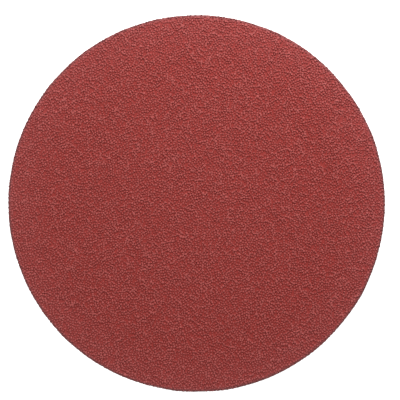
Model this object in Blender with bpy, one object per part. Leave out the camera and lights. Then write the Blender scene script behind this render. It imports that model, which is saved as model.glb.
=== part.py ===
"""Hook and loop sanding disc, lying on its loop side with its grit face up.

Three sheets are bonded flat on each other: knitted loop fabric, backing paper, and the
coat of abrasive grain in its resin. One round die punches all three to the same edge.
Metres, +Z up. The origin is the middle of the loop side, and +Z is the disc's axis.
"""

import math
import random

import bmesh
import bpy

# Driving dimensions, in metres
DISC_DIAMETER = 0.125
KNIT_THICKNESS = 0.0006
WALE_HEIGHT = 0.0003
WALE_CREST_WIDTH = 0.0008
WALE_GROOVE_WIDTH = 0.0005
PAPER_THICKNESS = 0.0003
RESIN_THICKNESS = 0.0003
GRAIN_STAND = 0.00035
CLUSTER_SPACING = 0.00195
SHEET_MARGIN = 0.003

# How far a cluster of grain strays from its place, as a share of the spacing
CLUSTER_JITTER = 0.28
GRAIN_SEED = 40
DIE_SIDES = 192

# Heights of the bonded faces above the surface that the loops rest on
LOOP_FABRIC_THICKNESS = WALE_HEIGHT + KNIT_THICKNESS
PAPER_BOTTOM = LOOP_FABRIC_THICKNESS
COAT_BOTTOM = PAPER_BOTTOM + PAPER_THICKNESS
DISC_THICKNESS = COAT_BOTTOM + RESIN_THICKNESS + GRAIN_STAND
SHEET_WIDTH = DISC_DIAMETER + 2 * SHEET_MARGIN


def clear_scene():
    for obj in list(bpy.data.objects):
        bpy.data.objects.remove(obj, do_unlink=True)


def new_collection(name):
    collection = bpy.data.collections.new(name)
    bpy.context.scene.collection.children.link(collection)
    return collection


def new_material(name, colour, roughness, metallic):
    """A finish from the photograph: linear colour, roughness and metallic value."""
    material = bpy.data.materials.new(name)
    material.use_nodes = True
    material.diffuse_color = (*colour, 1.0)
    shader = material.node_tree.nodes["Principled BSDF"]
    shader.inputs["Base Color"].default_value = (*colour, 1.0)
    shader.inputs["Roughness"].default_value = roughness
    shader.inputs["Metallic"].default_value = metallic
    return material


def grit_red():
    return new_material("grit_red", (0.291, 0.052, 0.047), 0.62, 0.0)


def paper_brown():
    return new_material("paper_brown", (0.150, 0.056, 0.052), 0.85, 0.0)


def loop_off_white():
    return new_material("loop_off_white", (0.66, 0.64, 0.61), 0.95, 0.0)


def place(obj, collection, material, parent, height):
    """Puts a sheet's object into the disc, with its underside at this height."""
    for other in list(obj.users_collection):
        other.objects.unlink(obj)
    collection.objects.link(obj)
    obj.data.materials.clear()
    obj.data.materials.append(material)
    obj.parent = parent
    obj.location = (0.0, 0.0, height)
    return obj


def make_die(collection):
    """The round punch, which reaches past both faces of the bonded sheets."""
    bpy.ops.mesh.primitive_cylinder_add(
        vertices=DIE_SIDES,
        radius=DISC_DIAMETER / 2,
        depth=3 * DISC_THICKNESS,
        location=(0.0, 0.0, DISC_THICKNESS / 2),
    )
    die = bpy.context.object
    die.name = "round_die"
    for other in list(die.users_collection):
        other.objects.unlink(die)
    collection.objects.link(die)
    die.hide_render = True
    die.display_type = "WIRE"
    return die


def die_cut(sheet, die):
    """Keeps what the die punches out of a sheet."""
    cut = sheet.modifiers.new("die_cut", "BOOLEAN")
    cut.operation = "INTERSECT"
    cut.solver = "EXACT"
    cut.object = die


def wale_outline():
    """The loop fabric's section across its wales: (x, height) from the flat back round to the crests.

    A wale's crest lies on the disc's middle, and each groove between two wales is a V.
    """
    pitch = WALE_CREST_WIDTH + WALE_GROOVE_WIDTH
    reach = math.ceil(SHEET_WIDTH / 2 / pitch)
    edge = reach * pitch + WALE_CREST_WIDTH / 2
    points = [(edge, LOOP_FABRIC_THICKNESS), (-edge, LOOP_FABRIC_THICKNESS)]
    for wale in range(-reach, reach + 1):
        crest = wale * pitch
        points.append((crest - WALE_CREST_WIDTH / 2, 0.0))
        points.append((crest + WALE_CREST_WIDTH / 2, 0.0))
        if wale < reach:
            points.append((crest + pitch / 2, WALE_HEIGHT))
    return points


def make_loop_fabric(collection, parent, die):
    """The knitted fabric that a sander's hooks catch, with its wales running along Y."""
    outline = wale_outline()
    curve = bpy.data.curves.new("loop_fabric_section", "CURVE")
    curve.dimensions = "2D"
    curve.fill_mode = "BOTH"
    curve.extrude = SHEET_WIDTH / 2
    spline = curve.splines.new("POLY")
    spline.points.add(len(outline) - 1)
    for point, (x, height) in zip(spline.points, outline):
        point.co = (x, height, 0.0, 1.0)
    spline.use_cyclic_u = True
    section = bpy.data.objects.new("loop_fabric_section", curve)
    section.rotation_euler = (math.pi / 2, 0.0, 0.0)
    bpy.context.scene.collection.objects.link(section)
    bpy.context.view_layer.update()
    graph = bpy.context.evaluated_depsgraph_get()
    mesh = bpy.data.meshes.new_from_object(section.evaluated_get(graph))
    mesh.transform(section.matrix_world)
    bpy.data.objects.remove(section)
    sheet = bmesh.new()
    sheet.from_mesh(mesh)
    bmesh.ops.remove_doubles(sheet, verts=sheet.verts, dist=1e-6)
    bmesh.ops.recalc_face_normals(sheet, faces=sheet.faces)
    sheet.to_mesh(mesh)
    sheet.free()
    fabric = bpy.data.objects.new("loop_fabric", mesh)
    place(fabric, collection, loop_off_white(), parent, 0.0)
    die_cut(fabric, die)
    return fabric


def make_backing_paper(collection, parent, die):
    """The heavy paper that carries the grain: a plain sheet."""
    mesh = bpy.data.meshes.new("backing_paper")
    sheet = bmesh.new()
    bmesh.ops.create_cube(sheet, size=1.0)
    bmesh.ops.scale(sheet, vec=(SHEET_WIDTH, SHEET_WIDTH, PAPER_THICKNESS), verts=sheet.verts)
    bmesh.ops.translate(sheet, vec=(0.0, 0.0, PAPER_THICKNESS / 2), verts=sheet.verts)
    sheet.to_mesh(mesh)
    sheet.free()
    paper = bpy.data.objects.new("backing_paper", mesh)
    place(paper, collection, paper_brown(), parent, PAPER_BOTTOM)
    die_cut(paper, die)
    return paper


def raise_grain(sheet, columns, rows):
    """Turns a flat unit grid into the grit face: a triangular lattice, each point a cluster of grain.

    Every other row stands half a space aside. A cluster strays a little from its place and
    has a height of its own, between the resin that fills the hollows and the tallest grain.
    """
    dice = random.Random(GRAIN_SEED)
    for cluster in sheet.verts:
        column = round((cluster.co.x + 0.5) * columns)
        row = round((cluster.co.y + 0.5) * rows)
        aside = CLUSTER_SPACING / 4 * (1 if row % 2 else -1)
        stray_angle = dice.uniform(0.0, 2 * math.pi)
        stray = dice.uniform(0.0, CLUSTER_JITTER) * CLUSTER_SPACING
        cluster.co.x = (column - columns / 2) * CLUSTER_SPACING + aside + stray * math.cos(stray_angle)
        cluster.co.y = (row - rows / 2) * CLUSTER_SPACING * math.sqrt(3) / 2 + stray * math.sin(stray_angle)
        cluster.co.z = RESIN_THICKNESS + dice.random() * GRAIN_STAND
    bmesh.ops.triangulate(sheet, faces=sheet.faces, quad_method="SHORT_EDGE")


def make_grit_coat(collection, parent, die):
    """The resin with its grain: rough on top, flat where it is bonded to the paper."""
    columns = 2 * math.ceil(SHEET_WIDTH / 2 / CLUSTER_SPACING)
    rows = 2 * math.ceil(SHEET_WIDTH / 2 / (CLUSTER_SPACING * math.sqrt(3) / 2))
    mesh = bpy.data.meshes.new("grit_coat")
    sheet = bmesh.new()
    bmesh.ops.create_grid(sheet, x_segments=columns, y_segments=rows, size=0.5)
    raise_grain(sheet, columns, rows)
    rim = [edge for edge in sheet.edges if edge.is_boundary]
    drawn = bmesh.ops.extrude_edge_only(sheet, edges=rim)["geom"]
    for item in drawn:
        if isinstance(item, bmesh.types.BMVert):
            item.co.z = 0.0
    underside = [item for item in drawn if isinstance(item, bmesh.types.BMEdge) and item.is_boundary]
    bmesh.ops.contextual_create(sheet, geom=underside)
    bmesh.ops.recalc_face_normals(sheet, faces=sheet.faces)
    sheet.to_mesh(mesh)
    sheet.free()
    coat = bpy.data.objects.new("grit_coat", mesh)
    place(coat, collection, grit_red(), parent, COAT_BOTTOM)
    die_cut(coat, die)
    return coat


def main():
    clear_scene()
    parts = new_collection("hook_and_loop_sanding_disc")
    cutters = new_collection("cutters")
    centre = bpy.data.objects.new("sanding_disc", None)
    parts.objects.link(centre)
    die = make_die(cutters)
    make_loop_fabric(parts, centre, die)
    make_backing_paper(parts, centre, die)
    make_grit_coat(parts, centre, die)
    bpy.context.view_layer.update()


main()
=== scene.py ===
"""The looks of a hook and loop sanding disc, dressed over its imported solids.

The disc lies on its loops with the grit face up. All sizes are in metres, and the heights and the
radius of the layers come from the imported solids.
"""

import math

import bmesh
import bpy
import numpy as np
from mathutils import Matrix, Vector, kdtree


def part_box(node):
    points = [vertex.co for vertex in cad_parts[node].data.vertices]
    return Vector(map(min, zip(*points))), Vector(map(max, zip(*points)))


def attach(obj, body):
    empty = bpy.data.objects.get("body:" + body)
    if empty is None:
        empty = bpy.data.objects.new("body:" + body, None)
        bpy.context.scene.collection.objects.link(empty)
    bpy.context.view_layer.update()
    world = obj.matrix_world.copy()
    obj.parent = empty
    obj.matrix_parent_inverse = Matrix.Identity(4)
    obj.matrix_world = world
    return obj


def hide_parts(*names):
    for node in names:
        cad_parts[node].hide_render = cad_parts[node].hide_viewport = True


bl_info = {
    "name": "Sanding Disc Looks",
    "version": (1, 0, 0),
    "blender": (4, 5, 0),
    "location": "3D View > Sidebar > Sanding Disc",
    "description": "Dresses the solids of a hook and loop sanding disc with grain, paper and knit",
    "category": "Add Mesh",
}

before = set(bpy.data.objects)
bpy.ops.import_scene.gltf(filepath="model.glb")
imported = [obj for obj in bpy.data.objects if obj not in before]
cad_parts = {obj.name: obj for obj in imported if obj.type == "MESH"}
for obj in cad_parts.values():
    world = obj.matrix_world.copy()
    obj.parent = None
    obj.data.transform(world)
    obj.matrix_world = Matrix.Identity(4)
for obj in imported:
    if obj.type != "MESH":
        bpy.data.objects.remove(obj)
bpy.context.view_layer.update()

MM = 0.001

# Heights and radius that the solids give
LOOP_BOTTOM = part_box("loop_fabric")[0][2]
LOOP_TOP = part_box("loop_fabric")[1][2]
PAPER_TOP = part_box("backing_paper")[1][2]
COAT_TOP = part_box("grit_coat")[1][2]
DISC_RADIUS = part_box("backing_paper")[1][0]

# Bands near the rim, as the radii between which each one sets in
PALE_BAND = (DISC_RADIUS - 16 * MM, DISC_RADIUS - 1.2 * MM)
PALEST_BAND = (DISC_RADIUS - 2.2 * MM, DISC_RADIUS - 0.6 * MM)
# The crushed band is coloured darker: partly a die stain, partly painted shade along the cut edge
CRUSHED_BAND = (DISC_RADIUS - 0.84 * MM, DISC_RADIUS - 0.48 * MM)
PRESSED_BAND = (DISC_RADIUS - 0.55 * MM, DISC_RADIUS)
STRAY_BAND = (DISC_RADIUS - 1.2 * MM, DISC_RADIUS)

# How much of the paleness the wide band brings, in what patches and how far the crushed band
# wanders, and how deep the die pressed the coat
PALE_SHARE = 0.65
CRUSHED_PATCH, CRUSHED_STRAY = 0.7 * MM, 0.16 * MM
PRESSED_DEPTH = 0.22 * MM

# The cut edge's stray from a true circle: waves per turn, and how far they go
RIM_SEED = 7
SLOW_WAVES, SLOW_STRAY = range(2, 40), 0.045 * MM
QUICK_WAVES, QUICK_STRAY = range(180, 620, 11), 0.011 * MM

# The grains: how far they keep from the edge, how far each strays from its lattice place as a
# share of the spacing, how often crowded ones are pushed apart, how far each is stretched each
# way, and the share of its thickness that lies in the resin
GRAIN_MARGIN = 0.05 * MM
GRAIN_STRAY = 0.75
PUSH_ROUNDS = 6
GRAIN_STRETCH = (0.65, 1.4)
GRAIN_SUNK = (0.15, 0.29)

# How far a grain's corners stray from an even spread over a ball: in angle, and in reach
GOLDEN_ANGLE = math.pi * (3 - math.sqrt(5))
CORNER_TURN = (-0.5, 0.5)
CORNER_REACH = (0.82, 1.12)

# The least gap from a grain's foot to the paper, and from the knit's inner points to the edge
LEAST_GAP = 0.02 * MM

# The power that shapes the knit's wales: one below 1 widens their crests
CREST_POWER = 0.7

# How a layer lies on its map, which is 1 wide: its relief in a circle, its cut wall as a ring round
# that, and its flat face in a corner
RELIEF_REACH = 0.46
WALL_WIDTH = 0.03
FLAT_MIDDLE, FLAT_REACH = 0.06, 0.05

# How a small part lies in its cell of the map: how far it reaches from the middle, and for a grain
# a scale and a shift for the faces that look up, and for the others
CELL_REACH = 0.45
HEAD_IN_CELL = ([0.98, 0.72], [0.0, 0.27])
FOOT_IN_CELL = ([0.98, 0.22], [0.0, -0.76])

# The photograph's frame: a square of pixels, and the disc's place and radius in it
PHOTO_SIDE_PX = 400
DISC_CENTRE_PX = (196.64, 203.40)
DISC_RADIUS_PX = 188.4
METRES_PER_PX = DISC_RADIUS / DISC_RADIUS_PX

# The lamps' places and widths. The key lamp stands low at the top right, so that grains cast shade.
KEY_LAMP_PLACE, KEY_LAMP_WIDTH = (0.085, 0.28, 0.172), 0.11
SIDE_LAMP_PLACE, SIDE_LAMP_WIDTH = (-0.22, 0.10, 0.40), 0.16
SIDE_LAMP_SHARE = 0.30

WHITE = (1.0, 1.0, 1.0)
BLACK = (0.0, 0.0, 0.0)
FLOOR_GREY = (0.8, 0.8, 0.8)
FLOOR_GLOW = 0.85

# How much roughness varies over the resin, the grain and the paper
ROUGHNESS_SPREAD = 0.15


class Value:
    """A number that a shader socket carries, for use in Python expressions."""

    def __init__(self, nodes, socket):
        self.nodes = nodes
        self.socket = socket

    def worked_out(self, operation, *terms):
        """What a Math node makes of these terms, in their order."""
        node = self.nodes.node("ShaderNodeMath", {"operation": operation}, *terms)
        return Value(self.nodes, node.outputs[0])

    def __add__(self, other):
        return self.worked_out("ADD", self, other)

    def __sub__(self, other):
        return self.worked_out("SUBTRACT", self, other)

    def __rsub__(self, other):
        return self.worked_out("SUBTRACT", other, self)

    def __mul__(self, other):
        return self.worked_out("MULTIPLY", self, other)

    def __truediv__(self, other):
        return self.worked_out("DIVIDE", self, other)

    def __rtruediv__(self, other):
        return self.worked_out("DIVIDE", other, self)

    __radd__ = __add__
    __rmul__ = __mul__

    def __abs__(self):
        return self.worked_out("ABSOLUTE", self)

    def fraction(self):
        return self.worked_out("FRACT", self)

    def root(self):
        return self.worked_out("SQRT", self)

    def sine(self):
        return self.worked_out("SINE", self)

    def at_least(self, other):
        return self.worked_out("MAXIMUM", self, other)

    def at_most(self, other):
        return self.worked_out("MINIMUM", self, other)

    def clamped(self):
        return self.at_least(0.0).at_most(1.0)

    def ramp(self, start, end):
        """0 below start, 1 above end, and smooth between them."""
        settings = {"interpolation_type": "SMOOTHSTEP", "clamp": True}
        node = self.nodes.node("ShaderNodeMapRange", settings, self, start, end, 0.0, 1.0)
        return Value(self.nodes, node.outputs[0])


class Nodes:
    """A node tree in the making."""

    def __init__(self, tree):
        self.tree = tree

    def node(self, kind, settings, *inputs, **named):
        """One node: its settings, then values or links for its sockets, in order or by name."""
        node = self.tree.nodes.new(kind)
        for key, value in settings.items():
            setattr(node, key, value)
        for place, given in enumerate(inputs):
            self.feed(node.inputs[place], given)
        for key, given in named.items():
            self.feed(node.inputs[key.replace("_", " ")], given)
        return node

    def feed(self, socket, given):
        """Links a socket to a value or another socket, or gives it a constant."""
        if isinstance(given, Value):
            self.tree.links.new(given.socket, socket)
        elif isinstance(given, bpy.types.NodeSocket):
            self.tree.links.new(given, socket)
        elif socket.type == "RGBA":
            socket.default_value = (*given, 1.0)
        else:
            socket.default_value = given

    def shown(self):
        """1 for rays that show this to the camera, straight, mirrored or through glass, else 0."""
        path = self.node("ShaderNodeLightPath", {})
        camera, glossy, through = (
            Value(self, path.outputs[name])
            for name in ("Is Camera Ray", "Is Glossy Ray", "Is Transmission Ray")
        )
        return camera.at_least(glossy).at_least(through)


class Finish(Nodes):
    """A node-based material in the making, with its shader."""

    def __init__(self, name):
        self.material = bpy.data.materials.new(name)
        self.material.use_nodes = True
        super().__init__(self.material.node_tree)
        self.shader = self.tree.nodes["Principled BSDF"]

    def place(self):
        """The point's own place on the disc, in metres."""
        return self.node("ShaderNodeTexCoord", {}).outputs["Object"]

    def axes(self):
        """The point's x, y and z on the disc."""
        parts = self.node("ShaderNodeSeparateXYZ", {}, self.place())
        return [Value(self, output) for output in parts.outputs]

    def radius(self):
        x, y, _ = self.axes()
        return (x * x + y * y).root()

    def noise(self, size, detail=2.0, roughness=0.5):
        """Cloudy noise from 0 to 1 with patches of about this size."""
        node = self.node(
            "ShaderNodeTexNoise",
            {},
            Vector=self.place(),
            Scale=1.0 / size,
            Detail=detail,
            Roughness=roughness,
        )
        return Value(self, node.outputs[0])

    def attribute(self, name):
        """A number that each of the mesh's points carries."""
        node = self.node("ShaderNodeAttribute", {"attribute_name": name})
        return Value(self, node.outputs["Fac"])

    def mix(self, share, first, second):
        """A colour between two, by a share from 0 to 1."""
        node = self.node("ShaderNodeMix", {"data_type": "RGBA"})
        for place, given in ((0, share), (6, first), (7, second)):
            self.feed(node.inputs[place], given)
        return node.outputs[2]

    def bump(self, height, distance):
        """A normal from a height of 0 to 1 that stands for this distance."""
        node = self.node("ShaderNodeBump", {}, Strength=1.0, Distance=distance, Height=height)
        return node.outputs["Normal"]

    def set(self, **sockets):
        """Feeds the shader's sockets and returns the finished material."""
        for key, given in sockets.items():
            self.feed(self.shader.inputs[key.replace("_", " ")], given)
        return self.material


def stained_and_shaded_edge(finish):
    """1 on the band at the rim that the die crushed, 0 inside it: the band that is darkened, partly
    as a die stain and partly as painted shade along the cut edge.
    """
    stray = finish.noise(CRUSHED_PATCH) * CRUSHED_STRAY
    return (finish.radius() + stray).ramp(*CRUSHED_BAND)


def rim_coat(finish, coat, grit):
    """The coat's colour out to the rim: thin resin pales it, and its last edge is darkened, partly
    as a die stain and partly as painted shade along the cut.
    """
    radius = finish.radius()
    thin = radius.ramp(*PALE_BAND) * PALE_SHARE + radius.ramp(*PALEST_BAND)
    pale = finish.mix(thin * grit.rim_paleness, coat, grit.rim_pale)
    return finish.mix(stained_and_shaded_edge(finish), pale, grit.edge_stain_and_shade)


def resin_finish(grit):
    """The cured size coat: dark red between the grains, with a slight gloss."""
    finish = Finish("size_resin")
    specks = finish.noise(grit.chip_size, detail=0.0)
    tone = ((specks - 0.5) * grit.chip_contrast + 0.5).clamped()
    coat = finish.mix(tone, grit.resin_dark, grit.resin_light)
    return finish.set(
        Base_Color=rim_coat(finish, coat, grit),
        Roughness=grit.roughness + specks * ROUGHNESS_SPREAD,
        Normal=finish.bump(specks, distance=0.05 * MM),
        Specular_IOR_Level=grit.gloss,
    )


def grain_finish(grit):
    """Crushed aluminium oxide: deep red down its flanks and pale towards its tip, partly where
    resin climbs the flanks and partly as painted shade low on them and painted highlight on the
    tip.
    """
    finish = Finish("oxide_grain")
    bare_and_highlit = finish.attribute("tone")
    chips = finish.noise(grit.chip_size, detail=0.0)
    # The tone paints each grain paler towards its tip: partly thin resin there, partly painted
    # highlight, with painted shade lower down
    share = (bare_and_highlit + (chips - 0.5) * grit.chip_contrast).clamped()
    coat = finish.mix(share, grit.grain_flank_and_shade, grit.grain_tip_and_highlight)
    return finish.set(
        Base_Color=rim_coat(finish, coat, grit),
        Roughness=grit.roughness + chips * ROUGHNESS_SPREAD,
        Normal=finish.bump(chips, distance=0.03 * MM),
        Specular_IOR_Level=grit.gloss,
    )


def paper_finish(paper):
    """Heavy brown paper: fibres show on its cut edge."""
    finish = Finish("backing_paper_cut")
    fibres = finish.noise(size=0.12 * MM, detail=4.0, roughness=0.7)
    return finish.set(
        Base_Color=finish.mix(fibres, paper.fibre_dark, paper.fibre_light),
        Roughness=0.8 + fibres * ROUGHNESS_SPREAD,
        Normal=finish.bump(fibres, distance=0.04 * MM),
    )


def knit_finish(loops):
    """The knitted ground under the loops: chevrons of yarn along each wale, with painted shade that
    colours their lower strands darker.
    """
    finish = Finish("knit_ground")
    x, y, _ = finish.axes()
    from_crest = (x / loops.wale_pitch + 0.5).fraction() * 2 - 1
    lean = abs(from_crest) * 0.55
    strand = ((y / loops.course_pitch + lean) * (2 * math.pi)).sine() * 0.5 + 0.5
    fibres = finish.noise(size=0.2 * MM, detail=4.0, roughness=0.7)
    # The lower parts of the chevrons get the darker colour, as painted shade in the knit's hollows
    raised_and_lit = strand * 0.7 + fibres * 0.3
    return finish.set(
        Base_Color=finish.mix(raised_and_lit, loops.painted_shade_and_dark_yarn, loops.yarn_colour),
        Roughness=0.9,
        Normal=finish.bump(raised_and_lit, distance=0.16 * MM),
        Sheen_Weight=0.3,
    )


def yarn_finish(loops):
    """The brushed loops: fine bright filament with a soft sheen."""
    finish = Finish("loop_yarn")
    tone = finish.attribute("tone") * 0.6 + finish.noise(size=0.09 * MM) * 0.4
    return finish.set(
        Base_Color=finish.mix(tone, loops.painted_shade_and_dark_yarn, loops.yarn_colour),
        Roughness=0.62,
        Sheen_Weight=0.4,
    )


def floor_finish():
    """White floor that keeps the disc's shadow and looks white to the camera."""
    finish = Finish("white_floor")
    return finish.set(
        Base_Color=FLOOR_GREY,
        Roughness=0.9,
        Specular_IOR_Level=0.0,
        Emission_Color=finish.mix(finish.shown() * FLOOR_GLOW, BLACK, WHITE),
        Emission_Strength=1.0,
    )


def new_piece(name, points, shells, material, sharp_from=math.pi, tones=None):
    """A mesh piece: each shell has faces of one size, and a place on the map for every point.

    Faces are smooth over edges that bend less than sharp_from.
    """
    faces = [shell for shell, _ in shells]
    mesh = bpy.data.meshes.new(name)
    mesh.vertices.add(len(points))
    mesh.vertices.foreach_set("co", points.astype(np.float32).ravel())
    corners = np.concatenate([np.asarray(face, np.int32).ravel() for face in faces])
    sizes = np.concatenate([np.full(len(face), face.shape[1], np.int32) for face in faces])
    mesh.loops.add(len(corners))
    mesh.loops.foreach_set("vertex_index", corners)
    mesh.polygons.add(len(sizes))
    mesh.polygons.foreach_set("loop_start", np.concatenate([[0], np.cumsum(sizes)[:-1]]))
    mesh.polygons.foreach_set("use_smooth", np.full(len(sizes), True))
    mesh.update(calc_edges=True)
    flat = np.concatenate([places[shell.ravel()] for shell, places in shells])
    mesh.uv_layers.new(name="OFBake").uv.foreach_set("vector", flat.astype(np.float32).ravel())
    if mesh.validate():
        raise RuntimeError(f"{name} has faces that no mesh can hold")
    mesh.set_sharp_from_angle(angle=sharp_from)
    if tones is not None:
        layer = mesh.attributes.new("tone", "FLOAT", "POINT")
        layer.data.foreach_set("value", tones.astype(np.float32))
    piece = bpy.data.objects.new(name, mesh)
    bpy.context.scene.collection.objects.link(piece)
    mesh.materials.append(material)
    return piece


def ring_lattice(rings):
    """Points and triangles of a unit disc: ring k holds 6 k points, so that all lie evenly."""
    points = [np.zeros((1, 2))]
    faces = []
    inner_start, start = 0, 1
    for ring in range(1, rings + 1):
        count, inner_count = 6 * ring, 6 * (ring - 1)
        angle = 2 * math.pi * np.arange(count) / count
        points.append(np.stack([np.cos(angle), np.sin(angle)], 1) * ring / rings)
        outer = np.arange(count)
        side, step = np.divmod(outer, ring)
        inner = (side * (ring - 1) + step) % max(inner_count, 1)
        faces.append(np.stack([start + outer, start + (outer + 1) % count, inner_start + inner], 1))
        inner = np.arange(inner_count)
        side, step = np.divmod(inner, max(ring - 1, 1))
        outer = side * ring + step + 1
        ahead = (inner + 1) % max(inner_count, 1)
        faces.append(np.stack([start + outer, inner_start + ahead, inner_start + inner], 1))
        inner_start, start = start, start + count
    return np.concatenate(points), np.concatenate(faces)


def outer_ring(rings):
    """The numbers of the points on the outermost ring of a ring lattice."""
    count = 1 + 3 * rings * (rings + 1)
    return np.arange(count - 6 * rings, count)


def smooth_step(value, start, end):
    """0 below start, 1 above end, and smooth between them."""
    share = np.clip((value - start) / (end - start), 0.0, 1.0)
    return share * share * (3 - 2 * share)


def rim_stray(angle):
    """How far the cut edge strays from a true circle: slow waves with small ones on them."""
    dice = np.random.default_rng(RIM_SEED)
    stray = np.zeros_like(angle)
    for waves in SLOW_WAVES:
        turn = dice.uniform(0, 2 * math.pi)
        stray += SLOW_STRAY / math.sqrt(waves) * np.sin(waves * angle + turn)
    for waves in QUICK_WAVES:
        stray += QUICK_STRAY * np.sin(waves * angle + dice.uniform(0, 2 * math.pi))
    return stray


def to_rim(xy):
    """Moves points near the edge so that the outline strays as a die cut does."""
    radius = np.hypot(xy[:, 0], xy[:, 1])
    angle = np.arctan2(xy[:, 1], xy[:, 0])
    moved = radius + smooth_step(radius, *STRAY_BAND) * rim_stray(angle)
    return xy * (moved / np.maximum(radius, 1e-9))[:, None]


def cut_at_rim(points):
    """Pulls points back to the die's edge, as the die shears a grain."""
    radius = np.hypot(points[..., 0], points[..., 1])
    limit = DISC_RADIUS + rim_stray(np.arctan2(points[..., 1], points[..., 0]))
    scale = np.where(radius > limit, limit / np.maximum(radius, 1e-9), 1.0)
    points[..., :2] *= scale[..., None]


def scatter(spacing, reach, jitter, dice):
    """Places on a triangular lattice, each strayed by up to a share of the spacing."""
    rows = math.ceil(reach / (spacing * math.sqrt(3) / 2)) + 1
    columns = math.ceil(reach / spacing) + 1
    column, row = np.meshgrid(np.arange(-columns, columns + 1), np.arange(-rows, rows + 1))
    x = (column + 0.5 * (row % 2)) * spacing
    y = row * spacing * math.sqrt(3) / 2
    places = np.stack([x.ravel(), y.ravel()], 1)
    angle = dice.uniform(0, 2 * math.pi, len(places))
    stray = spacing * jitter * np.sqrt(dice.uniform(0, 1, len(places)))
    places += np.stack([np.cos(angle), np.sin(angle)], 1) * stray[:, None]
    return places[np.hypot(places[:, 0], places[:, 1]) < reach]


def pushed_apart(places, spacing, rounds, reach):
    """Moves places that crowd each other apart, so that no rows show and none lie on others."""
    for _ in range(rounds):
        first, second = close_pairs(places, spacing)
        way = places[first] - places[second]
        gap = np.hypot(way[:, 0], way[:, 1])
        push = way * ((spacing - gap) / np.maximum(gap, 1e-9) * 0.5)[:, None]
        move = np.zeros_like(places)
        for axis in range(2):
            move[:, axis] = np.bincount(first, push[:, axis], len(places))
        places = places + 0.5 * move
        radius = np.hypot(places[:, 0], places[:, 1])
        places *= np.minimum(1.0, reach / np.maximum(radius, 1e-9))[:, None]
    return places


def close_pairs(places, spacing):
    """Both orders of each pair nearer than the spacing, found in a grid of cells of that size."""
    cell = np.floor(places / spacing).astype(np.int64)
    cell -= cell.min(axis=0)
    wide = cell[:, 1].max() + 3
    key = (cell[:, 0] + 1) * wide + cell[:, 1] + 1
    order = np.argsort(key, kind="stable")
    keys = key[order]
    firsts, seconds = [], []
    for across in (-1, 0, 1):
        for up in (-1, 0, 1):
            wanted = key + across * wide + up
            start = np.searchsorted(keys, wanted, "left")
            count = np.searchsorted(keys, wanted, "right") - start
            first = np.repeat(np.arange(len(places)), count)
            into = np.arange(count.sum()) - np.repeat(np.cumsum(count) - count, count)
            second = order[np.repeat(start, count) + into]
            gap = np.hypot(*(places[first] - places[second]).T)
            near = (first != second) & (gap < spacing)
            firsts.append(first[near])
            seconds.append(second[near])
    return np.concatenate(firsts), np.concatenate(seconds)


def crushed_grain(dice, corners):
    """One sharp grain of unit size: the hull of a few points spread over a ball."""
    grain = bmesh.new()
    for k in range(corners):
        height = 1 - (2 * k + 1) / corners
        angle = k * GOLDEN_ANGLE + dice.uniform(*CORNER_TURN)
        flat = math.sqrt(1 - height * height)
        reach = dice.uniform(*CORNER_REACH)
        across, up = flat * math.cos(angle), flat * math.sin(angle)
        grain.verts.new((across * reach, up * reach, height * reach))
    bmesh.ops.convex_hull(grain, input=list(grain.verts))
    bmesh.ops.triangulate(grain, faces=list(grain.faces))
    bmesh.ops.recalc_face_normals(grain, faces=list(grain.faces))
    grain.verts.index_update()
    points = np.array([v.co[:] for v in grain.verts])
    faces = np.array([[v.index for v in f.verts] for f in grain.faces])
    grain.free()
    return points, faces


def turned(count, dice):
    """Random turns in space, one matrix each."""
    q = dice.normal(size=(count, 4))
    q /= np.linalg.norm(q, axis=1)[:, None]
    w, x, y, z = q.T
    rows = (
        (1 - 2 * (y * y + z * z), 2 * (x * y - w * z), 2 * (x * z + w * y)),
        (2 * (x * y + w * z), 1 - 2 * (x * x + z * z), 2 * (y * z - w * x)),
        (2 * (x * z - w * y), 2 * (y * z + w * x), 1 - 2 * (x * x + y * y)),
    )
    return np.stack([np.stack(row, 1) for row in rows], 1)


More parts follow.
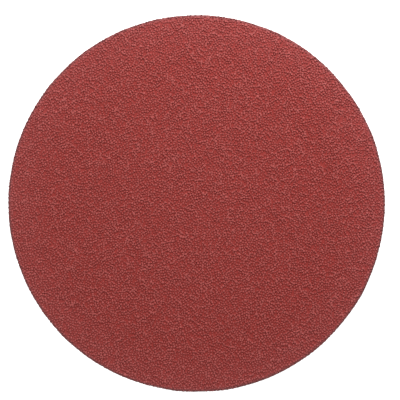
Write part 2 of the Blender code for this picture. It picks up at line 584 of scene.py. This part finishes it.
class GritSettings(bpy.types.PropertyGroup):
    """Sizes and colours of the grit coat."""

    grain_size: bpy.props.FloatProperty(
        name="Grain size", description="Mean width of a grain", default=0.76 * MM, unit="LENGTH"
    )
    grain_spacing: bpy.props.FloatProperty(
        name="Grain spacing",
        description="Mean way from grain to grain",
        default=0.92 * MM,
        unit="LENGTH",
    )
    grain_thickness: bpy.props.FloatProperty(
        name="Grain thickness",
        description="Of a lying grain, as a share of its width",
        default=0.75,
        min=0.0,
        max=1.0,
        subtype="FACTOR",
    )
    resin_depth: bpy.props.FloatProperty(
        name="Resin depth", description="Resin over the paper", default=0.26 * MM, unit="LENGTH"
    )
    roughness: bpy.props.FloatProperty(
        name="Roughness",
        description="Of the resin and of the skin on the grains",
        default=0.55,
        min=0.0,
        max=1.0,
        subtype="FACTOR",
    )
    gloss: bpy.props.FloatProperty(
        name="Gloss",
        description="Specular level of the resin and of the skin on the grains",
        default=0.16,
        min=0.0,
        max=1.0,
        subtype="FACTOR",
    )
    chip_size: bpy.props.FloatProperty(
        name="Chip size",
        description="Width of the chips and specks on grain and resin",
        default=0.5 * MM,
        unit="LENGTH",
    )
    chip_contrast: bpy.props.FloatProperty(
        name="Chip contrast", description="How much the chips and specks show", default=0.9
    )
    tone_spread: bpy.props.FloatProperty(
        name="Tone spread", description="How much grains differ in tone", default=0.03
    )
    seed: bpy.props.IntProperty(name="Seed", description="Seed of the grain's scatter", default=40)
    resin_dark: bpy.props.FloatVectorProperty(
        name="Resin dark",
        description="Darker specks of resin",
        subtype="COLOR",
        default=(0.241, 0.024, 0.020),
    )
    resin_light: bpy.props.FloatVectorProperty(
        name="Resin light",
        description="Paler specks of resin",
        subtype="COLOR",
        default=(0.259, 0.031, 0.026),
    )
    # Deep red of a grain low on its flanks: partly grain under thick resin, partly painted shade
    grain_flank_and_shade: bpy.props.FloatVectorProperty(
        name="Grain flank",
        description="Grain under thick resin",
        subtype="COLOR",
        default=(0.270, 0.035, 0.030),
    )
    # Pale grain near its tip: partly thin resin, partly painted highlight
    grain_tip_and_highlight: bpy.props.FloatVectorProperty(
        name="Grain tip",
        description="Grain that nearly shows",
        subtype="COLOR",
        default=(0.320, 0.064, 0.058),
    )
    # Dark colour of the crushed rim band: partly a die stain, partly painted shade along the cut
    # edge
    edge_stain_and_shade: bpy.props.FloatVectorProperty(
        name="Cut edge",
        description="Band that the die crushed",
        subtype="COLOR",
        default=(0.207, 0.053, 0.052),
    )
    rim_pale: bpy.props.FloatVectorProperty(
        name="Rim pale",
        description="What the coat pales to near the rim",
        subtype="COLOR",
        default=(0.72, 0.31, 0.34),
    )
    rim_paleness: bpy.props.FloatProperty(
        name="Rim paleness",
        description="How much the coat pales near the rim",
        default=0.041,
        min=0.0,
        max=1.0,
        subtype="FACTOR",
    )


class PaperSettings(bpy.types.PropertyGroup):
    """Colours of the backing paper."""

    fibre_dark: bpy.props.FloatVectorProperty(
        name="Fibre dark",
        description="Darker paper fibres",
        subtype="COLOR",
        default=(0.10, 0.04, 0.036),
    )
    fibre_light: bpy.props.FloatVectorProperty(
        name="Fibre light",
        description="Paler paper fibres",
        subtype="COLOR",
        default=(0.24, 0.12, 0.10),
    )


class LoopSettings(bpy.types.PropertyGroup):
    """Sizes and colours of the loop fabric."""

    wale_pitch: bpy.props.FloatProperty(
        name="Wale pitch", description="From wale to wale", default=1.3 * MM, unit="LENGTH"
    )
    course_pitch: bpy.props.FloatProperty(
        name="Course pitch", description="From course to course", default=0.9 * MM, unit="LENGTH"
    )
    groove_depth: bpy.props.FloatProperty(
        name="Groove depth",
        description="Of the grooves between the wales",
        default=0.24 * MM,
        unit="LENGTH",
    )
    pile_height: bpy.props.FloatProperty(
        name="Pile height",
        description="From the knit down to what the disc rests on",
        default=0.3 * MM,
        unit="LENGTH",
    )
    loop_width: bpy.props.FloatProperty(
        name="Loop width", description="Across one loop", default=1.5 * MM, unit="LENGTH"
    )
    loop_spacing: bpy.props.FloatProperty(
        name="Loop spacing", description="From loop to loop", default=1.02 * MM, unit="LENGTH"
    )
    yarn_radius: bpy.props.FloatProperty(
        name="Yarn radius", description="Half the yarn's width", default=0.042 * MM, unit="LENGTH"
    )
    yarn_colour: bpy.props.FloatVectorProperty(
        name="Yarn", description="Loop yarn", subtype="COLOR", default=(0.72, 0.70, 0.67)
    )
    # Painted shade for the knit's hollows, and the darker end of the loops' random tone
    painted_shade_and_dark_yarn: bpy.props.FloatVectorProperty(
        name="Yarn shade",
        description="Yarn deep in the knit",
        subtype="COLOR",
        default=(0.48, 0.46, 0.43),
    )


class StageSettings(bpy.types.PropertyGroup):
    """The lamps, the light from all round and the camera."""

    key_power: bpy.props.FloatProperty(
        name="Key lamp", description="Power of the low lamp", default=1.24, unit="POWER"
    )
    fill_strength: bpy.props.FloatProperty(
        name="Fill", description="Light from all round", default=0.61
    )
    lens: bpy.props.FloatProperty(
        name="Lens", description="Focal length in millimetres", default=85.0, unit="CAMERA"
    )


def add_lamp(name, place, power, width):
    """A round lamp that faces the middle of the disc."""
    lamp = bpy.data.lights.new(name, "AREA")
    lamp.shape = "DISK"
    lamp.size = width
    lamp.energy = power
    obj = bpy.data.objects.new(name, lamp)
    obj.location = place
    x, y, z = obj.location
    obj.rotation_euler = (math.atan2(math.hypot(x, y), z), 0.0, math.atan2(x, -y))
    bpy.context.scene.collection.objects.link(obj)


def add_camera(lens):
    """Straight above the disc, with the photograph's frame at the height of the paper's top."""
    camera = bpy.data.cameras.new("camera")
    camera.lens = lens
    obj = bpy.data.objects.new("camera", camera)
    width = PHOTO_SIDE_PX * METRES_PER_PX
    across = (PHOTO_SIDE_PX / 2 - DISC_CENTRE_PX[0]) * METRES_PER_PX
    up = (DISC_CENTRE_PX[1] - PHOTO_SIDE_PX / 2) * METRES_PER_PX
    distance = width * lens / camera.sensor_width
    obj.location = (across, up, PAPER_TOP + distance)
    camera.clip_start = distance / 100
    camera.clip_end = distance * 100
    bpy.context.scene.collection.objects.link(obj)
    bpy.context.scene.camera = obj


def add_floor():
    """A wide floor under the disc, which is no part of it."""
    mesh = bpy.data.meshes.new("floor")
    plane = bmesh.new()
    bmesh.ops.create_grid(plane, x_segments=8, y_segments=8, size=40 * DISC_RADIUS)
    plane.to_mesh(mesh)
    plane.free()
    floor = bpy.data.objects.new("floor", mesh)
    bpy.context.scene.collection.objects.link(floor)
    mesh.materials.append(floor_finish())


def set_world(fill):
    """White where the camera sees it, and a softer fill for everything else."""
    world = bpy.data.worlds.new("studio")
    world.use_nodes = True
    sky = Nodes(world.node_tree)
    background = world.node_tree.nodes["Background"]
    sky.feed(background.inputs["Color"], WHITE)
    sky.feed(background.inputs["Strength"], sky.shown() * (1.0 - fill) + fill)
    bpy.context.scene.world = world


class DISC_OT_stage(bpy.types.Operator):
    """Adds the floor, the lamps, the world and the camera."""

    bl_idname = "disc.stage"
    bl_label = "Stage"

    def execute(self, context):
        stage = context.scene.disc_stage
        side_power = stage.key_power * SIDE_LAMP_SHARE
        add_floor()
        add_lamp("key_lamp", KEY_LAMP_PLACE, stage.key_power, KEY_LAMP_WIDTH)
        add_lamp("side_lamp", SIDE_LAMP_PLACE, side_power, SIDE_LAMP_WIDTH)
        set_world(stage.fill_strength)
        add_camera(stage.lens)
        context.scene.view_settings.view_transform = "Standard"
        return {"FINISHED"}


def grain_places(grit):
    """Where the grains lie, and the dice in the state that this leaves them in."""
    dice = np.random.default_rng(grit.seed)
    reach = DISC_RADIUS - GRAIN_MARGIN
    places = scatter(grit.grain_spacing, reach, GRAIN_STRAY, dice)
    return pushed_apart(places, grit.grain_spacing, PUSH_ROUNDS, reach), dice


def rim_sink(radius):
    """How far the die pressed the coat down towards the rim."""
    return smooth_step(radius, *PRESSED_BAND) * PRESSED_DEPTH


def solid_layer(xy, faces, rim, relief, flat_height, rows, stray, dice):
    """A closed sheet: a face of any relief, a flat one opposite, and a rough cut wall between them.

    rim holds the numbers of the points on the edge, in order. The wall has so many rows, and its
    points stray inwards by up to the stray.
    """
    middle = np.hypot(xy[:, 0], xy[:, 1])
    outward = xy / np.maximum(middle, 1e-9)[:, None]
    across = RELIEF_REACH * (middle / middle.max())
    points = [np.column_stack([xy, relief])]
    seen = [0.5 + outward * across[:, None]]
    quads = []
    above = rim
    for row in range(1, rows + 1):
        share = row / rows
        below = np.arange(len(xy) + (row - 1) * len(rim), len(xy) + row * len(rim))
        inset = dice.uniform(-stray, 0, len(rim)) if row < rows else 0.0
        height = relief[rim] * (1 - share) + flat_height * share
        points.append(np.column_stack([outward[rim] * (middle[rim] + inset)[:, None], height]))
        seen.append(0.5 + outward[rim] * (across[rim] + WALL_WIDTH * share)[:, None])
        quads.append(np.stack([above, below, np.roll(below, -1), np.roll(above, -1)], 1))
        above = below
    points = np.concatenate(points)
    seen = np.concatenate(seen)
    corner = FLAT_MIDDLE + points[:, :2] / DISC_RADIUS * FLAT_REACH
    shells = [(faces, seen), (np.concatenate(quads), seen), (above[::-1][None, :], corner)]
    if flat_height > relief.mean():
        shells = [(shell[:, ::-1], places) for shell, places in shells]
    return points, shells


def in_cells(local, count):
    """Map places for many small parts: each part's (x, y), from -1 to 1, in a cell of its own."""
    side = math.ceil(math.sqrt(count))
    cell = np.stack([np.arange(count) % side, np.arange(count) // side], 1)
    return ((cell[:, None, :] + 0.5 + CELL_REACH * local) / side).reshape(-1, 2)


class DISC_OT_resin(bpy.types.Operator):
    """Makes the cured resin between the grains."""

    bl_idname = "disc.resin"
    bl_label = "Resin coat"

    RINGS = 140
    WALL_ROWS = 4
    WALL_STRAY = 0.05 * MM
    CLIMB_HEIGHT = 0.12 * MM
    CLIMB_REACH = 0.30 * MM
    RIPPLE = 0.012 * MM
    SWELL_WAVES = 8
    SWELL_RATES = (200, 900)

    def execute(self, context):
        grit = context.scene.disc_grit
        places, _ = grain_places(grit)
        tree = kdtree.KDTree(len(places))
        for index, (x, y) in enumerate(places):
            tree.insert((x, y, 0.0), index)
        tree.balance()
        lattice, faces = ring_lattice(self.RINGS)
        xy = to_rim(lattice * DISC_RADIUS)
        near = np.array([tree.find((x, y, 0.0))[2] for x, y in xy])
        dice = np.random.default_rng(grit.seed + 1)
        climb = np.exp(-((near / self.CLIMB_REACH) ** 2)) * self.CLIMB_HEIGHT
        swell = sum(
            self.RIPPLE * np.sin(xy[:, 0] * a + p) * np.sin(xy[:, 1] * b + q)
            for a, b, p, q in dice.uniform(*self.SWELL_RATES, (self.SWELL_WAVES, 4))
        )
        top = PAPER_TOP + grit.resin_depth + climb + swell + dice.normal(0, self.RIPPLE, len(xy))
        top -= rim_sink(np.hypot(xy[:, 0], xy[:, 1]))
        rim = outer_ring(self.RINGS)
        points, shells = solid_layer(
            xy, faces, rim, top, PAPER_TOP, self.WALL_ROWS, self.WALL_STRAY, dice
        )
        piece = new_piece("resin_coat", points, shells, resin_finish(grit))
        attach(piece, "root")
        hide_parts("grit_coat")
        return {"FINISHED"}


def spread_grains(shapes, here, width, grit, dice):
    """Grains of a few shapes, each turned and stretched its own way and sunk into the resin."""
    shape = dice.integers(0, len(shapes), len(here))
    stretch = dice.uniform(*GRAIN_STRETCH, (len(here), 1, 3))
    sunk = dice.uniform(*GRAIN_SUNK, len(here))
    corners = np.stack([points for points, _ in shapes])[shape] * stretch
    local = np.einsum("nij,nkj->nki", turned(len(here), dice), corners)
    local = local * [1.0, 1.0, grit.grain_thickness]
    points = local * (width / 2)[:, None, None]
    level = PAPER_TOP + grit.resin_depth - rim_sink(np.hypot(here[:, 0], here[:, 1]))
    lift = grit.grain_thickness * width * (0.5 - sunk)
    points[:, :, :2] += here[:, None, :]
    points[:, :, 2] += (level + lift)[:, None]
    points[:, :, 2] = points[:, :, 2].clip(PAPER_TOP + LEAST_GAP, COAT_TOP)
    cut_at_rim(points)
    points = points.reshape(-1, 3)
    start = np.arange(len(here)) * corners.shape[1]
    faces = np.concatenate(
        [
            (triangles[None] + start[shape == number][:, None, None]).reshape(-1, 3)
            for number, (_, triangles) in enumerate(shapes)
        ]
    )
    reach = np.abs(local[:, :, :2]).max(axis=(1, 2), keepdims=True)
    return points, up_and_down(points, faces, local[:, :, :2] / reach)


def up_and_down(points, faces, seen):
    """Two shells of many small bodies: the faces that look up, and the others at their foot."""
    a, b, c = (points[faces[:, k], :2] for k in range(3))
    up = (b[:, 0] - a[:, 0]) * (c[:, 1] - a[:, 1]) > (b[:, 1] - a[:, 1]) * (c[:, 0] - a[:, 0])
    head, foot = (
        in_cells(seen * scale + shift, len(seen)) for scale, shift in (HEAD_IN_CELL, FOOT_IN_CELL)
    )
    return [(faces[up], head), (faces[~up], foot)]


class DISC_OT_grain(bpy.types.Operator):
    """Makes the grains, in three pieces from coarse to fine."""

    bl_idname = "disc.grain"
    bl_label = "Grain"

    SIZES = (("coarse_grain", 1.12), ("middle_grain", 1.0), ("fine_grain", 0.88))
    SIZE_SPREAD = (0.92, 1.08)
    SHAPES = 24
    CORNERS = 11
    SHARP_FROM = math.radians(20)
    # How far below its tip a grain keeps its paleness, partly bare oxide and partly painted
    # highlight, and how fast that fades
    BARE_AND_HIGHLIGHT_DEPTH = 0.6
    BARE_AND_HIGHLIGHT_POWER = 2.5

    def execute(self, context):
        grit = context.scene.disc_grit
        places, dice = grain_places(grit)
        material = grain_finish(grit)
        shapes = [crushed_grain(dice, self.CORNERS) for _ in range(self.SHAPES)]
        kind = dice.integers(0, len(self.SIZES), len(places))
        for number, (name, share) in enumerate(self.SIZES):
            here = places[kind == number]
            width = grit.grain_size * share * dice.uniform(*self.SIZE_SPREAD, len(here))
            points, shells = spread_grains(shapes, here, width, grit, dice)
            height = points[:, 2].reshape(len(here), self.CORNERS)
            thickness = grit.grain_thickness * width[:, None]
            below_tip = (height.max(axis=1, keepdims=True) - height) / thickness
            # Paler near the tip and darker lower down: partly a thinner resin skin on the tip,
            # partly painted highlight and painted shade
            bare_and_highlit = 1.0 - (below_tip / self.BARE_AND_HIGHLIGHT_DEPTH) ** self.BARE_AND_HIGHLIGHT_POWER
            tone = bare_and_highlit + dice.normal(0, grit.tone_spread, (len(here), 1))
            tones = tone.ravel().clip(0, 1)
            piece = new_piece(name, points, shells, material, self.SHARP_FROM, tones)
            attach(piece, "root")
            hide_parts("grit_coat")
        return {"FINISHED"}


class DISC_OT_paper(bpy.types.Operator):
    """Makes the backing paper with its cut edge."""

    bl_idname = "disc.paper"
    bl_label = "Backing paper"

    SEED = 3
    RINGS = 90
    WALL_ROWS = 4
    WALL_STRAY = 0.05 * MM

    def execute(self, context):
        lattice, faces = ring_lattice(self.RINGS)
        xy = to_rim(lattice * DISC_RADIUS)
        top = np.full(len(xy), PAPER_TOP)
        rim = outer_ring(self.RINGS)
        dice = np.random.default_rng(self.SEED)
        points, shells = solid_layer(
            xy, faces, rim, top, LOOP_TOP, self.WALL_ROWS, self.WALL_STRAY, dice
        )
        piece = new_piece("paper_sheet", points, shells, paper_finish(context.scene.disc_paper))
        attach(piece, "root")
        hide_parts("backing_paper")
        return {"FINISHED"}


def knit_grid(wale_pitch, row_pitch, wale_cuts):
    """A disc of cells whose columns follow the wales, with its rim points' numbers in order."""
    reach = math.ceil(DISC_RADIUS / wale_pitch) + 1
    columns = np.arange(-reach, reach + 1)[:, None] + np.array(wale_cuts)
    columns = np.sort(columns.ravel()) * wale_pitch
    reach = math.ceil(DISC_RADIUS / row_pitch) + 1
    rows = np.arange(-reach, reach + 1) * row_pitch
    x, y = np.meshgrid(columns, rows, indexing="ij")
    xy = np.stack([x.ravel(), y.ravel()], 1)
    number = np.arange(len(xy)).reshape(x.shape)
    first, second = number[:-1, :-1].ravel(), number[1:, :-1].ravel()
    third, fourth = number[1:, 1:].ravel(), number[:-1, 1:].ravel()
    halves = (np.stack([first, second, third], 1), np.stack([first, third, fourth], 1))
    faces = np.concatenate(halves)
    radius = np.hypot(xy[:, 0], xy[:, 1])
    inside = radius < DISC_RADIUS - LEAST_GAP
    faces = faces[inside[faces].any(axis=1)]
    xy[~inside] *= (DISC_RADIUS / radius[~inside])[:, None]
    used = np.unique(faces)
    place = np.zeros(len(xy), np.int64)
    place[used] = np.arange(len(used))
    xy = xy[used]
    rim = np.nonzero(~inside[used])[0]
    rim = rim[np.argsort(np.arctan2(xy[rim, 1], xy[rim, 0]))]
    return xy, place[faces], rim


def knit_underside(x, loops):
    """Height of the knit's underside: wales with rounded crests, and grooves between them."""
    crest = 0.5 + 0.5 * np.cos(2 * math.pi * x / loops.wale_pitch)
    groove = loops.groove_depth * (1 - crest**CREST_POWER)
    return LOOP_BOTTOM + loops.pile_height + groove


class DISC_OT_knit(bpy.types.Operator):
    """Makes the knitted ground of the loop fabric, a cloth laid flat under the paper."""

    bl_idname = "disc.knit"
    bl_label = "Knitted ground"

    SEED = 11
    ROW_PITCH = 1.2 * MM
    WALE_CUTS = (-0.5, -0.36, -0.17, 0.0, 0.17, 0.36)
    FUZZ = 0.012 * MM
    WALL_ROWS = 3
    WALL_STRAY = 0.09 * MM

    def execute(self, context):
        loops = context.scene.disc_loops
        xy, faces, rim = knit_grid(loops.wale_pitch, self.ROW_PITCH, self.WALE_CUTS)
        dice = np.random.default_rng(self.SEED)
        under = knit_underside(xy[:, 0], loops) + dice.normal(0, self.FUZZ, len(xy))
        points, shells = solid_layer(
            to_rim(xy), faces, rim, under, LOOP_TOP, self.WALL_ROWS, self.WALL_STRAY, dice
        )
        piece = new_piece("loop_knit", points, shells, knit_finish(loops))
        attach(piece, "root")
        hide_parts("loop_fabric")
        return {"FINISHED"}


class DISC_OT_loops(bpy.types.Operator):
    """Makes the loops that the knit stands on: short arches of yarn, brushed over all ways."""

    bl_idname = "disc.loops"
    bl_label = "Loops"

    SEED = 23
    STEPS = 5
    SIDES = 3
    MARGIN = 0.3 * MM

    # The stray is in loop spacings, the span and the bend in loop widths, the drop in pile heights,
    # and the root's depth in yarn radii
    STRAY = 0.5
    SPAN = (0.6, 1.25)
    BEND = (-0.5, 0.5)
    DROP = (0.75, 1.0)
    ROOT_DEPTH = 1.5

    # The power that shapes an arch: one below 1 makes it rounder
    ARCH_POWER = 0.6

    def execute(self, context):
        loops = context.scene.disc_loops
        dice = np.random.default_rng(self.SEED)
        material = yarn_finish(loops)
        places = scatter(loops.loop_spacing, DISC_RADIUS - self.MARGIN, self.STRAY, dice)
        half = dice.integers(0, 2, len(places))
        for number, name in enumerate(("loop_pile", "loop_pile_between")):
            here = places[half == number]
            points, shells = self.arches(here, loops, dice)
            tones = np.repeat(dice.uniform(0, 1, len(here)), self.STEPS * self.SIDES)
            piece = new_piece(name, points, shells, material, tones=tones)
            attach(piece, "root")
            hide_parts("loop_fabric")
        return {"FINISHED"}

    def arches(self, here, loops, dice):
        """One arch of yarn per place: a closed tube along a bent line that hangs from the knit."""
        count = len(here)
        way = dice.uniform(0, 2 * math.pi, count)
        span = dice.uniform(*self.SPAN, count) * loops.loop_width
        bend = dice.uniform(*self.BEND, count) * loops.loop_width
        drop = dice.uniform(*self.DROP, count) * loops.pile_height
        step = np.linspace(0, 1, self.STEPS)
        along = (step[None] - 0.5) * span[:, None]
        aside = np.sin(math.pi * step)[None] * bend[:, None]
        hang = np.sin(math.pi * step)[None] ** self.ARCH_POWER * drop[:, None]
        cos, sin = np.cos(way)[:, None], np.sin(way)[:, None]
        x = here[:, :1] + along * cos - aside * sin
        y = here[:, 1:] + along * sin + aside * cos
        z = knit_underside(x, loops) + self.ROOT_DEPTH * loops.yarn_radius - hang
        points = self.tubes(np.stack([x, y, z], 2), loops.yarn_radius)
        cut_at_rim(points)
        points[..., 2] = points[..., 2].clip(LOOP_BOTTOM, None)
        return points.reshape(-1, 3), self.tube_shells(count)

    def tubes(self, lines, radius):
        """Rings of points round each point of each line."""
        ahead = np.gradient(lines, axis=1)
        ahead /= np.linalg.norm(ahead, axis=2, keepdims=True)
        side = np.cross(ahead, [0.0, 0.0, 1.0])
        side /= np.linalg.norm(side, axis=2, keepdims=True)
        up = np.cross(side, ahead)
        turn = 2 * math.pi * np.arange(self.SIDES)[:, None] / self.SIDES
        ring = side[:, :, None, :] * np.cos(turn) + up[:, :, None, :] * np.sin(turn)
        return lines[:, :, None, :] + ring * radius

    def tube_shells(self, count):
        """The sides and the closed ends of so many tubes."""
        last = self.STEPS - 1
        ring, corner = np.meshgrid(np.arange(last), np.arange(self.SIDES), indexing="ij")
        first = (ring * self.SIDES + corner).ravel()
        second = (ring * self.SIDES + (corner + 1) % self.SIDES).ravel()
        quads = np.stack([first, second, second + self.SIDES, first + self.SIDES], 1)
        near = np.arange(self.SIDES)[::-1]
        far = np.arange(self.SIDES) + last * self.SIDES
        start = (np.arange(count) * self.STEPS * self.SIDES)[:, None, None]
        sides = (quads[None] + start).reshape(-1, 4)
        ends = (np.stack([near, far])[None] + start).reshape(-1, self.SIDES)
        steps, turns = np.linspace(-1, 1, self.STEPS), np.linspace(-1, 1, self.SIDES)
        flat = np.stack(np.meshgrid(steps, turns, indexing="ij"), 2)
        seen = in_cells(flat.reshape(1, -1, 2).repeat(count, 0), count)
        return [(sides, seen), (ends, seen)]


SETTINGS = {
    "disc_grit": GritSettings,
    "disc_paper": PaperSettings,
    "disc_loops": LoopSettings,
    "disc_stage": StageSettings,
}
OPERATORS = (
    DISC_OT_stage,
    DISC_OT_resin,
    DISC_OT_grain,
    DISC_OT_paper,
    DISC_OT_knit,
    DISC_OT_loops,
)


class DISC_PT_panel(bpy.types.Panel):
    """Lists the disc's pieces in the sidebar."""

    bl_idname = "DISC_PT_panel"
    bl_label = "Sanding Disc"
    bl_space_type = "VIEW_3D"
    bl_region_type = "UI"
    bl_category = "Sanding Disc"

    def draw(self, context):
        for operator in OPERATORS:
            self.layout.operator(operator.bl_idname)


CLASSES = (*SETTINGS.values(), *OPERATORS, DISC_PT_panel)


def register():
    for item in CLASSES:
        bpy.utils.register_class(item)
    for name, group in SETTINGS.items():
        setattr(bpy.types.Scene, name, bpy.props.PointerProperty(type=group))


def unregister():
    for name in SETTINGS:
        delattr(bpy.types.Scene, name)
    for item in reversed(CLASSES):
        bpy.utils.unregister_class(item)


def main():
    register()
    bpy.ops.disc.stage()
    bpy.ops.disc.resin()
    bpy.ops.disc.grain()
    bpy.ops.disc.paper()
    bpy.ops.disc.knit()
    bpy.ops.disc.loops()


if __name__ == "__main__":
    main()
